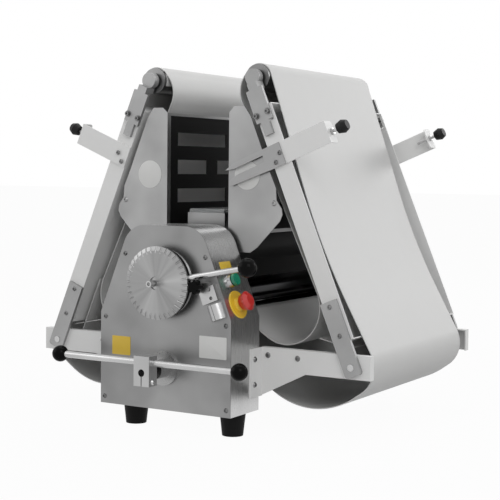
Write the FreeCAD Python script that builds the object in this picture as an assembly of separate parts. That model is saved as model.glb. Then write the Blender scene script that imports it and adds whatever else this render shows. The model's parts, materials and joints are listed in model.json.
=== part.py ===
import FreeCAD, Part
import math
import os

# Table-top dough sheeter with two belt tables that fold up beside the rollers.
# Millimetres. X runs along the belts, Y from the control side to the back, Z up from the bench.
# Everything is drawn about the middle of the rollers and above a base line, then moved so that
# the feet stand on the bench and the origin is the centre of the footprint.

# Side housings
inner_gap = 588.0
housing_depth = 120.0
housing_half_width = 172.0
base_height = 42.0
shoulder_height = 250.0
crown_half_width = 112.0
crown_shoulder_height = 401.0
housing_height = 448.0
crown_radius = 60.0
sheet = 2.0
side_plate_thickness = 8.0
cover_screw_head = 5.5
screw_head_height = 3.3
cover_screw_depth = 14.0
cover_screw_places = ((105.5, 383.0), (159.0, 239.0), (161.0, 57.5))
tie_bar_radius = 8.0
tie_bar_spigot = 5.6
tie_bar_places = ((-140.0, 75.0), (140.0, 75.0), (-60.0, 385.0), (60.0, 385.0))

# Rubber feet
foot_height = 54.0
foot_top_radius = 29.5
foot_bottom_radius = 23.5
foot_side_inset = 42.0
foot_from_gap = 40.0

# Rollers and belts
roller_radius = 30.0
nip_height = 250.0
nip_gap = 1.0
lift_travel = 35.0
slot_clearance = 2.0
block_gap = 0.4
block_rim = 4.0
drive_spacing = 75.0
shaft_radius = 10.0
running_clearance = 0.05
belt_side_gap = 44.0
belt_thickness = 2.0
roller_end_gap = 4.0
bearing_radius = 22.0
bearing_depth = 16.0
sprocket_radius = 22.0
sprocket_teeth = 14
sprocket_thickness = 5.0
chain_thickness = 4.0
tooth_height = 1.5
chain_clearance = 0.3
motor_half_width = 42.0
motor_bottom = 70.0
motor_rise = 38.0
motor_barrel_height = 118.0
motor_wall_gap = 4.0

# Slack belt of a folded table: where its loops turn, and how tightly
bulge_drop = 30.0
bulge_radius = 58.0
valley_place = (213.0, 270.0)
valley_radius = 85.0
belly_place = (282.0, 225.0)
belly_radius = 175.0
corner_place = (361.0, 150.0)
corner_radius = 68.0
sag_place = 300.0
sag_radius = 1500.0
sag_inset = 11.0
wrap_clearance = 0.3

# Folding tables
hinge_x = 396.0
hinge_height = 155.0
table_lean = 22.5
tray_start = 56.0
tray_end_gap = 72.0
tray_depth = 44.0
tray_offset = 3.5
tray_side_gap = 7.5
end_roller_place = 672.0
link_width = 40.0
link_thickness = 8.0
link_start = -20.0
link_end = 148.0
link_screw_places = (71.0, 136.0)
table_screw_radius = 3.0
hinge_pin_radius = 7.5
hinge_washer_rim = 5.0
hinge_washer = 2.0
tension_plate_width = 41.0
tension_plate_length = 76.0
tension_plate_gap = 30.0
tongue_width = 21.0
tongue_length = 32.0
tension_screw_inset = 17.0
tension_screw_spacing = 30.0
axle_boss_radius = 18.0
axle_boss_depth = 5.5
axle_wall = 6.0
axle_saddle_half = 12.0
end_roller_overhang = 8.0
slot_length = 40.0
slot_width = 8.0

# Support legs and rolling-pin fork
leg_from_tray_end = 114.0
leg_width = 50.0
leg_sheet = 3.0
leg_reach = 131.0
leg_lug = 34.0
stud_radius = 4.0
stud_inset = 15.0
leg_foot_radius = 15.0
leg_foot_length = 24.0
leg_foot_reach = 172.0
leg_corner = 8.0
nut_radius = 7.5
nut_height = 6.0
fork_reach = 135.0
fork_slot_width = 15.0
fork_slot_start = 34.0
fork_slot_rise = 5.0
fork_flare = 24.0
fork_foot = 14.0

# Table brackets
bracket_sheet = 3.0
bracket_end = 438.0
bracket_top = 181.0
bracket_depth = 52.0
bracket_root_depth = 108.0
bracket_knee = 284.0
bracket_flange = 52.0
bracket_clearance = 0.3
bracket_lip = 18.0
bracket_bolt_head = 6.5
bracket_bolt_inset = 18.0
bracket_bolt_drops = (24.0, 80.0)
web_bolt_places = ((190.0, 164.0), (264.0, 162.5))

# Guards over the rollers
guard_hinge_x = 95.0
guard_hinge_height = 405.0
guard_wall_x = 83.0
guard_top = 712.0
guard_side_gap = 10.0
guard_sheet = 2.0
guard_bottom = 432.0
guard_pin_radius = 4.0
guard_corner = 12.0
guard_shoulder = (138.0, 690.0)
guard_flank = (188.0, 567.0)
guard_elbow = (204.0, 532.0)
guard_waist = (206.0, 505.0)
guard_ear_top = (219.0, 487.0)
guard_ear = (221.0, 474.0)
guard_ear_bottom = (215.0, 460.0)
guard_chin = (158.0, 400.0)
guard_foot = 388.0
guard_stud_place = (200.0, 499.0)
guard_stile = 14.0
guard_lip = 5.0
guard_lip_height = 6.0
guard_window_margin = 45.0
guard_window_bar = 48.0
guard_window_rows = ((626.0, 30.0, 2), (560.0, 33.0, 3), (494.0, 32.0, 2))

# Cover between the guards
top_cover_half_width = 50.0
top_cover_end_gap = 48.0
top_cover_bottom = 395.0
top_cover_top = 472.0
lid_thickness = 9.0
lid_inset = 3.0

# Hoods and scrapers
hood_sheet = 2.0
hood_top = 420.0
hood_out = 118.0
hood_low = 330.0
hood_skirt = 40.0
hood_end_gap = 5.0
scraper_thickness = 2.0
scraper_gap = 1.0
scraper_lean = 8.0
scraper_top_drop = 22.0
scraper_bottom_drop = 52.0

# Dial
dial_height = 324.0
dial_radius = 80.0
dial_thickness = 8.0
dial_bevel = 9.0
dial_bevel_depth = 3.5
dial_notches = 36
dial_notch_radius = 2.2
dial_face = 34.0
dial_shaft_radius = 12.0
dial_shaft_depth = 34.0
hub_radius = 15.0
hub_recess = 3.0
stud_head_radius = 7.0
stud_head_length = 26.0
stud_socket_radius = 4.0
dial_ring_radius = 77.0
dial_ring_thickness = 14.0
flange_radius = 74.0
flange_face_radius = 70.0
flange_thickness = 11.0
lever_rod_radius = 6.5
lever_socket = 25.0
lever_angle = 11.0
lever_length = 226.0
lever_ball_radius = 20.5
knob_place = (101.0, 321.0)
knob_radius = 13.0
knob_back = 24.0
knob_front = 40.0
knob_lobes = 5
knob_stem_radius = 5.0
stop_block_place = (123.0, 304.0)
stop_block_half_width = 20.0
stop_block_half_height = 17.0
stop_block_depth = 16.0
stop_barrel_place = (138.0, 267.5)
stop_barrel_radius = 18.0
stop_barrel_length = 34.0
stop_arm_half = 8.0
stop_arm_depth = 12.0

# Reversing bar
reverse_height = 135.0
reverse_flange_radius = 38.0
reverse_flange_thickness = 6.0
reverse_boss_length = 38.0
reverse_boss_radius = 20.0
reverse_shaft_radius = 8.0
clamp_width = 40.0
clamp_height = 65.0
clamp_front = 85.0
clamp_back = 55.0
clamp_drop = 29.0
clamp_slot_half = 1.0
clamp_hole_depth = 14.0
bar_height = 156.0
bar_radius = 7.5
bar_ball_radius = 18.5
bar_half_length = 234.0
bar_place = 68.0

# Controls on the slanted side
control_depth = 48.0
start_height = 330.0
stop_height = 281.0
estop_disc_radius = 31.5
estop_disc_thickness = 2.0
estop_collar_height = 9.0
estop_collar_foot = 17.0
estop_collar_top = 12.5
estop_neck_radius = 8.0
mushroom_radius = 21.5
mushroom_height = 21.0
start_bezel_radius = 15.5
start_bezel_height = 8.0
start_stem_radius = 9.0
start_button_radius = 14.0
start_button_height = 6.0
button_travel = 3.0

# Places that follow from the sizes above
inner = inner_gap / 2
outer = inner + housing_depth
tray_half_width = inner - tray_side_gap
tray_end = end_roller_place - tray_end_gap
tension_plate_end = end_roller_place - tension_plate_gap
tension_plate_start = tension_plate_end - tension_plate_length
tension_screw_place = tension_plate_start + tension_screw_inset
leg_place = tray_end - leg_from_tray_end
guard_half_width = inner - guard_side_gap
belt_width = 2 * (inner - belt_side_gap)
foot_offset_x = housing_half_width - foot_side_inset
foot_offset_y = inner + foot_from_gap
front = -outer
lower_axis = nip_height - roller_radius
upper_axis = nip_height + nip_gap + roller_radius
front_reach = outer + bar_place + bar_ball_radius
rear_reach = outer + screw_head_height
footprint_shift = (front_reach - rear_reach) / 2
parts = {}

X = FreeCAD.Vector(1, 0, 0)
Y = FreeCAD.Vector(0, 1, 0)
Z = FreeCAD.Vector(0, 0, 1)
ORIGIN = FreeCAD.Vector(0, 0, 0)


def vec(x, y, z):
    return FreeCAD.Vector(x, y, z)


def box(x0, x1, y0, y1, z0, z1):
    return Part.makeBox(x1 - x0, y1 - y0, z1 - z0, vec(x0, y0, z0))


def rod_y(x, z, radius, y0, y1):
    return Part.makeCylinder(radius, y1 - y0, vec(x, y0, z), Y)


def rod_x(y, z, radius, x0, x1):
    return Part.makeCylinder(radius, x1 - x0, vec(x0, y, z), X)


def ring_y(x, z, radius, bore, y0, y1):
    return rod_y(x, z, radius, y0, y1).cut(rod_y(x, z, bore, y0 - 1, y1 + 1))


def plate_y(outline, y0, y1):
    wire = Part.makePolygon([vec(x, y0, z) for x, z in outline] + [vec(outline[0][0], y0, outline[0][1])])
    return Part.Face(wire).extrude(vec(0, y1 - y0, 0))


def mirror_x(shape):
    return shape.mirror(ORIGIN, X)


def mirror_y(shape):
    return shape.mirror(ORIGIN, Y)


def both_ends(shape):
    return Part.makeCompound([shape, mirror_y(shape)])


def fuse(shapes):
    return shapes[0].multiFuse(shapes[1:]).removeSplitter()


def group(shapes):
    return Part.makeCompound(shapes)


def turned(shape, axis, angle, centre=ORIGIN):
    copy = shape.copy()
    copy.rotate(centre, axis, angle)
    return copy


def round_edges_along(shape, direction, radius, near):
    """Round the straight edges of one direction whose middles pass the test."""
    edges = []
    for edge in shape.Edges:
        if edge.Curve.TypeId != "Part::GeomLine":
            continue
        start, end = edge.Vertexes[0].Point, edge.Vertexes[-1].Point
        if abs((end - start).normalize().dot(direction)) > 0.999 and near((start + end) * 0.5):
            edges.append(edge)
    return shape.makeFillet(radius, edges)


def tangent_band(circles, y0, y1, thickness):
    """A closed band round a chain of circles, each (x, z, radius, turn) with turn +1 or -1."""
    def loop(offset):
        lines = []
        count = len(circles)
        for i in range(count):
            ax, az, ar, at = circles[i]
            bx, bz, br, bt = circles[(i + 1) % count]
            a_signed = at * ar + offset
            b_signed = bt * br + offset
            dx, dz = bx - ax, bz - az
            across = b_signed - a_signed
            along = math.sqrt(dx * dx + dz * dz - across * across)
            heading = math.atan2(dz, dx) - math.atan2(across, along)
            left = (-math.sin(heading), math.cos(heading))
            start = (ax - a_signed * left[0], az - a_signed * left[1])
            end = (bx - b_signed * left[0], bz - b_signed * left[1])
            lines.append((start, end, heading))
        edges = []
        for i in range(count):
            start, end, heading = lines[i]
            edges.append(Part.makeLine(vec(start[0], y0, start[1]), vec(end[0], y0, end[1])))
            cx, cz, radius, turn = circles[(i + 1) % count]
            radius = radius + turn * offset
            next_start, next_end, next_heading = lines[(i + 1) % count]
            swing = (next_heading - heading) % (2 * math.pi)
            if turn < 0:
                swing = swing - 2 * math.pi
            middle = heading + swing / 2
            mid = (cx + turn * radius * math.sin(middle), cz - turn * radius * math.cos(middle))
            edges.append(Part.Arc(vec(end[0], y0, end[1]), vec(mid[0], y0, mid[1]),
                                  vec(next_start[0], y0, next_start[1])).toShape())
        return Part.Wire(Part.__sortEdges__(edges))
    outside = Part.Face(loop(thickness / 2)).extrude(vec(0, y1 - y0, 0))
    inside = Part.Face(loop(-thickness / 2)).extrude(vec(0, y1 - y0, 0))
    return outside.cut(inside)


def housing_prism(inset, y0, y1):
    """The rounded gable outline of a side housing, drawn smaller by the inset."""
    slope = math.atan2(crown_shoulder_height - shoulder_height, housing_half_width - crown_half_width)
    side = housing_half_width - inset
    shoulder = shoulder_height - inset * math.tan((math.pi / 2 - slope) / 2)
    top = housing_height - inset
    run = (top - shoulder) / math.tan(slope)
    corner = side - run
    bottom = base_height + inset
    half = [(side, bottom), (side, shoulder), (corner, top)]
    outline = half + [(-x, z) for x, z in reversed(half)]
    prism = plate_y(outline, y0, y1)
    radius = crown_radius - inset
    return round_edges_along(prism, Y, radius, lambda p: p.z > housing_height - 2 * inset - 1)


def housings():
    band = housing_prism(0, front + sheet, -inner).cut(housing_prism(sheet, front - 1, -inner + 1))
    parts["front_housing"] = band
    parts["rear_housing"] = mirror_y(band)
    cover = housing_prism(0, front, front + sheet)
    screws = []
    for x, z in cover_screw_places:
        for side in (-1, 1):
            cover = cover.cut(rod_y(side * x, z, cover_screw_head / 2, front - 1, front + sheet + 1))
            shank = rod_y(side * x, z, cover_screw_head / 2, front - 0.5, front + cover_screw_depth)
            screws.append(fuse([button_head(side * x, z, front), shank]))
    dial_hole = rod_y(0, dial_height, dial_shaft_radius + 2, front - 1, front + sheet + 1)
    reverse_hole = rod_y(0, reverse_height, reverse_shaft_radius + 2, front - 1, front + sheet + 1)
    parts["front_cover"] = cover.cut(dial_hole).cut(reverse_hole)
    parts["rear_cover"] = mirror_y(cover)
    screws = screws + [mirror_y(screw) for screw in screws]
    return screws


def button_head(x, z, face, radius=cover_screw_head):
    """A low domed screw head with a socket, standing off a face that looks to -Y."""
    height = screw_head_height
    head = Part.makeCone(radius, radius * 0.65, height, vec(x, face, z), vec(0, -1, 0))
    socket = Part.makeCylinder(radius * 0.42, height * 0.75, vec(x, face - height - 0.1, z), Y)
    return head.cut(socket)


def side_plates():
    plate = housing_prism(sheet, -inner - side_plate_thickness, -inner)
    through = (-inner - side_plate_thickness - 1, -inner + 1)
    for x in (-drive_spacing, 0, drive_spacing):
        plate = plate.cut(rod_y(x, lower_axis, shaft_radius + slot_clearance, *through))
    slot_half = shaft_radius + slot_clearance
    slot = box(-slot_half, slot_half, through[0], through[1], upper_axis, upper_axis + lift_travel)
    for z in (upper_axis, upper_axis + lift_travel):
        slot = slot.fuse(rod_y(0, z, slot_half, *through))
    plate = plate.cut(slot)
    for x, z in tie_bar_places:
        plate = plate.cut(rod_y(x, z, tie_bar_spigot, *through))
    parts["side_plates"] = both_ends(plate)
    bars = []
    for x, z in tie_bar_places:
        bar = rod_y(x, z, tie_bar_radius, -inner, inner)
        spigot_end = inner + side_plate_thickness
        bars.append(fuse([bar, rod_y(x, z, tie_bar_spigot, -spigot_end, spigot_end)]))
    parts["tie_bars"] = group(bars)


def rubber_feet():
    feet = []
    for side in (-1, 1):
        for end in (-1, 1):
            base = vec(side * foot_offset_x, end * foot_offset_y, base_height - foot_height)
            feet.append(Part.makeCone(foot_bottom_radius, foot_top_radius, foot_height, base, Z))
    parts["rubber_feet"] = group(feet)


def bearing_ring(x, z):
    back = -inner - side_plate_thickness
    return ring_y(x, z, bearing_radius, shaft_radius + running_clearance, back - bearing_depth, back)


def bearings():
    rings = [bearing_ring(x, lower_axis) for x in (-drive_spacing, 0, drive_spacing)]
    parts["bearings"] = group([both_ends(ring) for ring in rings])


def sprocket(x, z, y0, y1):
    """A small chain wheel: a disc with round tooth gaps."""
    wheel = rod_y(x, z, sprocket_radius + tooth_height, y0, y1)
    gap_radius = 0.62 * math.pi * sprocket_radius / sprocket_teeth
    gaps = []
    for i in range(sprocket_teeth):
        angle = 2 * math.pi * i / sprocket_teeth
        gap_x = x + (sprocket_radius + tooth_height) * math.cos(angle)
        gap_z = z + (sprocket_radius + tooth_height) * math.sin(angle)
        gaps.append(rod_y(gap_x, gap_z, gap_radius, y0 - 1, y1 + 1))
    return wheel.cut(gaps)


def roller(x, z, shaft_end):
    barrel = rod_y(x, z, roller_radius, -inner + roller_end_gap, inner - roller_end_gap)
    return fuse([barrel, rod_y(x, z, shaft_radius, -shaft_end, shaft_end)])


def rollers():
    shaft_end = inner + side_plate_thickness + bearing_depth
    wheel_start = shaft_end + 1
    wheel_end = wheel_start + sprocket_thickness
    gearbox_end = shaft_end + housing_depth / 2
    for name, x in (("drive_roller_right", drive_spacing), ("drive_roller_left", -drive_spacing)):
        body = roller(x, lower_axis, shaft_end)
        stub = rod_y(x, lower_axis, shaft_radius, shaft_end, wheel_end)
        parts[name] = fuse([body, stub, sprocket(x, lower_axis, wheel_start, wheel_end)])
    stub = rod_y(0, lower_axis, shaft_radius, shaft_end, gearbox_end)
    wheel = sprocket(0, lower_axis, wheel_start, wheel_end)
    parts["lower_roller"] = fuse([roller(0, lower_axis, shaft_end), stub, wheel])
    block_end = inner + side_plate_thickness + bearing_depth
    parts["upper_roller"] = roller(0, upper_axis, block_end)
    chain_y = (wheel_start + wheel_end) / 2
    link_radius = sprocket_radius + tooth_height + chain_thickness / 2 + chain_clearance
    chain_circles = [(x, lower_axis, link_radius, 1) for x in (-drive_spacing, drive_spacing)]
    parts["drive_chain"] = tangent_band(chain_circles, chain_y - sprocket_thickness,
                                        chain_y + sprocket_thickness, chain_thickness)


def lift_blocks():
    back = -inner - side_plate_thickness - block_gap
    half = bearing_radius + block_rim
    block = box(-half, half, back - bearing_depth + 2, back, upper_axis - half, upper_axis + half)
    bore = rod_y(0, upper_axis, shaft_radius + running_clearance, back - bearing_depth, back + 1)
    parts["lift_blocks"] = both_ends(block.cut(bore))


def gear_motor():
    start = inner + side_plate_thickness + bearing_depth + 2 * sprocket_thickness + 3
    end = outer - 2 * sheet - motor_wall_gap
    half = motor_half_width
    case = box(-half, half, start, end, motor_bottom, lower_axis + motor_rise)
    case = case.cut(rod_y(0, lower_axis, shaft_radius + running_clearance, start - 1, end + 1))
    motor_radius = (end - start) / 2 - 2
    motor_end = housing_half_width - 2 * sheet - motor_wall_gap
    motor = rod_x((start + end) / 2, motor_barrel_height, motor_radius, half - 2, motor_end)
    parts["gear_motor"] = fuse([case, motor])


def brackets():
    """Sheet brackets, each a flange on the housing's side and a web that carries a table hinge."""
    web_front = -tray_half_width + bracket_clearance
    web_back = web_front + bracket_sheet
    root = housing_half_width
    outline = ((root, bracket_top), (bracket_end, bracket_top), (bracket_end, bracket_top - bracket_depth),
               (bracket_knee, bracket_top - bracket_depth), (root, bracket_top - bracket_root_depth))
    web = plate_y(outline, web_front, web_back)
    flange_front = web_back - bracket_flange
    root_bottom = bracket_top - bracket_root_depth
    flange = box(root, root + bracket_sheet, flange_front, web_back, root_bottom, bracket_top)
    lip = box(root, bracket_end, web_front, web_front + bracket_lip, bracket_top - bracket_sheet, bracket_top)
    cap = box(bracket_end - bracket_sheet, bracket_end, web_front, web_front + bracket_lip,
              bracket_top - bracket_depth, bracket_top)
    bracket = fuse([web, flange, lip, cap])
    pin_hole = rod_y(hinge_x, hinge_height, hinge_pin_radius, web_front - 1, web_back + 1)
    bracket = bracket.cut(pin_hole)
    bolt_radius = bracket_bolt_head / 2
    bolts = []
    for drop in bracket_bolt_drops:
        place = vec(root + bracket_sheet, flange_front + bracket_bolt_inset, bracket_top - drop)
        hole_start = place - X * 2 * bracket_sheet
        bracket = bracket.cut(Part.makeCylinder(bolt_radius, 3 * bracket_sheet, hole_start, X))
        head = turned(button_head(0, 0, 0, bracket_bolt_head), Z, 90)
        head.translate(place)
        shank = Part.makeCylinder(bolt_radius, bracket_sheet + 0.5, place - X * bracket_sheet, X)
        bolts.append(fuse([head, shank]))
    for x, z in web_bolt_places:
        bracket = bracket.cut(rod_y(x, z, bolt_radius, web_front - 1, web_back + 1))
        shank = rod_y(x, z, bolt_radius, web_front - 0.5, web_back)
        bolts.append(fuse([button_head(x, z, web_front, bracket_bolt_head), shank]))
    right = both_ends(bracket)
    parts["support_brackets"] = group([right, mirror_x(right)])
    right_bolts = group([both_ends(bolt) for bolt in bolts])
    pin_end = web_back + hinge_washer
    pin = rod_y(hinge_x, hinge_height, hinge_pin_radius, web_front - link_thickness - 1.5, pin_end)
    washer_radius = hinge_pin_radius + hinge_washer_rim
    washer = ring_y(hinge_x, hinge_height, washer_radius, hinge_pin_radius, web_back, pin_end)
    pins = both_ends(fuse([pin, washer]))
    parts["hinge_pins"] = group([pins, mirror_x(pins), guard_pins()])
    return [right_bolts, mirror_x(right_bolts)]


def lean(shape):
    """Stand a table piece, drawn upright on the hinge, at its folded lean."""
    placed = turned(shape, Y, -table_lean)
    placed.translate(vec(hinge_x, 0, hinge_height))
    return placed


def tray():
    low = tray_offset - tray_depth / 2
    high = tray_offset + tray_depth / 2
    wide = tray_half_width
    body = box(low, high, -wide, wide, tray_start, tray_end)
    hollow = box(low + sheet, high + 1, -wide + sheet, wide - sheet, tray_start + sheet, tray_end - sheet)
    body = body.cut(hollow)
    slot_start = tension_screw_place - slot_length / 2
    slot_end = min(tension_screw_place + slot_length / 2, tray_end - slot_width)
    for side in (-1, 1):
        x = side * tension_screw_spacing / 2
        slot = box(x - slot_width / 2, x + slot_width / 2, -wide - 1, -wide + sheet + 1, slot_start, slot_end)
        body = body.cut(both_ends(slot))
    for place in link_screw_places:
        body = body.cut(rod_y(0, place, table_screw_radius, -wide - 1, wide + 1))
    return body


def links():
    half = link_width / 2
    face = -tray_half_width
    link = box(-half, half, face - link_thickness, face, link_start, link_end)
    link = round_edges_along(link, Y, half * 0.35, lambda p: p.z < 0)
    link = link.cut(rod_y(0, 0, hinge_pin_radius + running_clearance, face - link_thickness - 1, face + 1))
    for place in link_screw_places:
        link = link.cut(rod_y(0, place, table_screw_radius, face - link_thickness - 1, face + 1))
    return link


def socket_screw(x, z, face, length):
    """A washer and a socket head on a face that looks to -Y, with its shank behind."""
    washer = rod_y(x, z, 7.5, face - 1.5, face)
    head = rod_y(x, z, 5, face - 6.5, face - 1.5).cut(rod_y(x, z, 2.5, face - 7, face - 3.5))
    return fuse([washer, head, rod_y(x, z, table_screw_radius, face - 1.5, face + length)])


def tension_plate():
    half = tension_plate_width / 2
    face = -tray_half_width
    plate = box(-half, half, face - link_thickness, face, tension_plate_start, tension_plate_end)
    tongue = box(-tongue_width / 2, tongue_width / 2, face - link_thickness, face,
                 tension_plate_start - tongue_length, tension_plate_start)
    boss_back = -belt_width / 2 - end_roller_overhang - axle_wall
    boss_front = face + axle_boss_depth
    saddle_top = end_roller_place - axle_boss_radius + 3
    saddle = box(-axle_saddle_half, axle_saddle_half, face - link_thickness, boss_back,
                 tension_plate_end, saddle_top)
    boss = rod_y(0, end_roller_place, axle_boss_radius, boss_front, boss_back)
    plate = fuse([plate, tongue, saddle, boss])
    bore_end = boss_front + axle_wall
    plate = plate.cut(rod_y(0, end_roller_place, shaft_radius + running_clearance, bore_end, boss_back + 1))
    for side in (-1, 1):
        plate = plate.cut(rod_y(side * tension_screw_spacing / 2, tension_screw_place, table_screw_radius,
                                face - link_thickness - 1, face + 1))
    return plate


def end_roller():
    barrel_end = belt_width / 2 + end_roller_overhang
    barrel = rod_y(0, end_roller_place, roller_radius, -barrel_end, barrel_end)
    shaft_end = tray_half_width - axle_boss_depth - axle_wall - 2
    return fuse([barrel, rod_y(0, end_roller_place, shaft_radius, -shaft_end, shaft_end)])


def leg():
    """A support leg: a plate across the tray's wall with a lug bent in at its outer end."""
    face = -tray_half_width
    low = leg_place - leg_width / 2
    high = leg_place + leg_width / 2
    plate = box(tray_offset - tray_depth / 2, leg_reach, face - leg_sheet, face, low, high)
    lug = box(leg_reach - leg_sheet, leg_reach, face - leg_sheet, face - leg_sheet + leg_lug, low, high)
    body = fuse([plate, lug])
    body = round_edges_along(body, X, leg_corner, lambda p: p.y > face + 1)
    hole = Part.makeCylinder(stud_radius + running_clearance, 3 * leg_sheet,
                             vec(leg_reach - 2 * leg_sheet, face + stud_inset, leg_place), X)
    return body.cut(hole)


def leg_foot():
    """A rubber cone on a threaded stud, screwed through the leg's lug."""
    y = -tray_half_width + stud_inset
    neck = leg_foot_reach - leg_foot_length
    rise = leg_foot_length * 0.55
    cone = Part.makeCone(leg_foot_radius * 0.75, leg_foot_radius, rise, vec(neck, y, leg_place), X)
    pad_place = vec(neck + rise, y, leg_place)
    pad = Part.makeCone(leg_foot_radius, leg_foot_radius * 0.7, leg_foot_length - rise, pad_place, X)
    stud = rod_x(y, leg_place, stud_radius, leg_reach - leg_lug, neck + 6)
    return fuse([cone, pad, stud])


def leg_nut(start):
    """A hexagon nut on the foot's stud."""
    y = -tray_half_width + stud_inset
    angles = [math.radians(60 * i) for i in range(7)]
    corners = [vec(start, y + nut_radius * math.cos(a), leg_place + nut_radius * math.sin(a)) for a in angles]
    hexagon = Part.Face(Part.makePolygon(corners)).extrude(vec(nut_height, 0, 0))
    bore = stud_radius + running_clearance
    return hexagon.cut(rod_x(y, leg_place, bore, start - 1, start + nut_height + 1))


def fork():
    """The fork that holds the rolling pin, on top of the right front leg plate."""
    back = -tray_half_width - leg_sheet
    low = leg_place - leg_width / 2
    high = leg_place + leg_width / 2
    root = tray_offset - tray_depth / 2
    tip = -fork_reach
    slot_low = leg_place + fork_slot_rise - fork_slot_width / 2
    slot_high = slot_low + fork_slot_width
    rise = fork_slot_rise
    lower_prong = ((fork_foot, low), (root, low), (tip, low + rise), (tip, slot_low - rise),
                   (tip + fork_flare, slot_low), (-fork_slot_start, slot_low))
    upper_prong = ((-fork_slot_start, slot_high), (tip + fork_flare, slot_high), (tip, slot_high + rise),
                   (tip + fork_flare, high), (root, high), (fork_foot, high))
    return plate_y(lower_prong + upper_prong, back - leg_sheet, back)


def table_screws():
    face = -tray_half_width
    screws = []
    for place in link_screw_places:
        head = button_head(0, place, face - link_thickness)
        shank = rod_y(0, place, table_screw_radius, face - link_thickness - 0.5, face + sheet)
        screws.append(fuse([head, shank]))
    for side in (-1, 1):
        screws.append(socket_screw(side * tension_screw_spacing / 2, tension_screw_place,
                                   face - link_thickness, link_thickness + sheet + 1))
    for step in (-slot_width, slot_width):
        screws.append(button_head(step, leg_place - nut_height + step, face - 2 * leg_sheet))
    return screws


def belt():
    """The slack belt of the folded right table, hanging in two loops between its rollers."""
    wrap = roller_radius + belt_thickness / 2 + wrap_clearance
    lean_angle = math.radians(table_lean)
    arm = (-math.sin(lean_angle), math.cos(lean_angle))
    out = (arm[1], -arm[0])

    def on_arm(along, across):
        return (hinge_x + arm[0] * along + out[0] * across, hinge_height + arm[1] * along + out[1] * across)
    top = on_arm(end_roller_place, 0)
    bulge = on_arm(end_roller_place - bulge_drop, -2)
    sag = on_arm(sag_place, sag_radius + sag_inset)
    circles = ((*top, wrap, 1), (*bulge, bulge_radius, 1), (*valley_place, valley_radius, -1),
               (drive_spacing, lower_axis, wrap, 1), (*belly_place, belly_radius, 1),
               (*corner_place, corner_radius, 1), (*sag, sag_radius, -1))
    return tangent_band(circles, -belt_width / 2, belt_width / 2, belt_thickness)


def tables():
    pieces = {"tray": tray(), "links": both_ends(links()), "tension_plates": both_ends(tension_plate()),
              "end_roller": end_roller(), "legs": both_ends(leg()),
              "leg_feet": group([both_ends(leg_foot()), both_ends(leg_nut(leg_reach)),
                                 both_ends(leg_nut(leg_reach - leg_sheet - nut_height))])}
    pieces["screws"] = group([both_ends(screw) for screw in table_screws()])
    for name, shape in pieces.items():
        standing = lean(shape)
        parts["table_right_" + name] = standing
        parts["table_left_" + name] = mirror_x(standing)
    parts["table_right_pin_fork"] = lean(fork())
    slack = belt()
    parts["belt_right"] = slack
    parts["belt_left"] = mirror_x(slack)


def guard_pins():
    pin_end = -guard_half_width + guard_sheet + 2
    pin = rod_y(guard_hinge_x, guard_hinge_height, guard_pin_radius, -inner, pin_end)
    pins = both_ends(pin)
    return group([pins, mirror_x(pins)])


def guard_cheek():
    """A guard's side sheet, with its stile along the wall and its stop stud."""
    edge = guard_wall_x + 1
    outline = ((edge, guard_top - guard_corner), (edge + guard_corner, guard_top),
               (guard_shoulder[0] - 16, guard_top), guard_shoulder, guard_flank, guard_elbow,
               guard_waist, guard_ear_top, guard_ear, guard_ear_bottom,
               guard_chin, (guard_chin[0] - 18, guard_foot), (guard_hinge_x + guard_corner, guard_foot),
               (guard_hinge_x - 2, guard_foot + 6), (edge, guard_bottom - 7))
    cheek = plate_y(outline, -guard_half_width, -guard_half_width + guard_sheet)
    stile = box(guard_wall_x, guard_wall_x + guard_sheet, -guard_half_width, -guard_half_width + guard_stile,
                guard_bottom, guard_top - guard_corner)
    stud = button_head(*guard_stud_place, -guard_half_width, bracket_bolt_head)
    hole = rod_y(guard_hinge_x, guard_hinge_height, guard_pin_radius + running_clearance,
                 -guard_half_width - 1, -guard_half_width + guard_sheet + 1)
    return fuse([cheek, stile, stud]).cut(hole)


def guard_wall():
    """The black wall between the cheeks, with rows of equal windows."""
    back = guard_wall_x + guard_sheet
    inside = guard_half_width - guard_sheet
    front_face, back_face = back - 1, back + guard_sheet + 1
    wall_top = guard_top - guard_corner - guard_lip_height
    wall = box(back, back + guard_sheet, -inside + 1, inside - 1, guard_bottom, wall_top)
    for height, opening, count in guard_window_rows:
        room = 2 * (inside - guard_window_margin) - (count - 1) * guard_window_bar
        length = room / count
        for i in range(count):
            start = -inside + guard_window_margin + i * (length + guard_window_bar)
            wall = wall.cut(box(front_face, back_face, start, start + length, height, height + opening))
    return wall


def guards():
    """Two swinging guards, each a bent sheet frame with cheeks and a slotted black wall."""
    inside = guard_half_width - guard_sheet
    lip_top = guard_top - guard_corner
    lip = box(guard_wall_x, guard_wall_x + guard_lip, -inside, inside, lip_top - guard_sheet, lip_top)
    strip_end = guard_wall_x + guard_sheet
    strip = box(guard_wall_x, strip_end, -inside, inside, lip_top - guard_lip_height, lip_top)
    cheek = guard_cheek()
    frame = fuse([cheek, mirror_y(cheek), lip, strip])
    parts["guard_right_frame"] = frame
    parts["guard_left_frame"] = mirror_x(frame)
    wall = guard_wall()
    parts["guard_right_wall"] = wall
    parts["guard_left_wall"] = mirror_x(wall)


def top_cover():
    half = top_cover_half_width
    end = inner - top_cover_end_gap
    inset = lid_inset
    body = box(-half, half, -end, end, top_cover_bottom, top_cover_top)
    hollow = box(-half + sheet, half - sheet, -end + sheet, end - sheet,
                 top_cover_bottom - 1, top_cover_top - sheet)
    parts["top_cover"] = body.cut(hollow)
    lid = box(-half + inset, half - inset, -end + inset, end - inset,
              top_cover_top, top_cover_top + lid_thickness)
    parts["clear_lid"] = round_edges_along(lid, Y, inset, lambda p: p.z > top_cover_top + 1)


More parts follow.
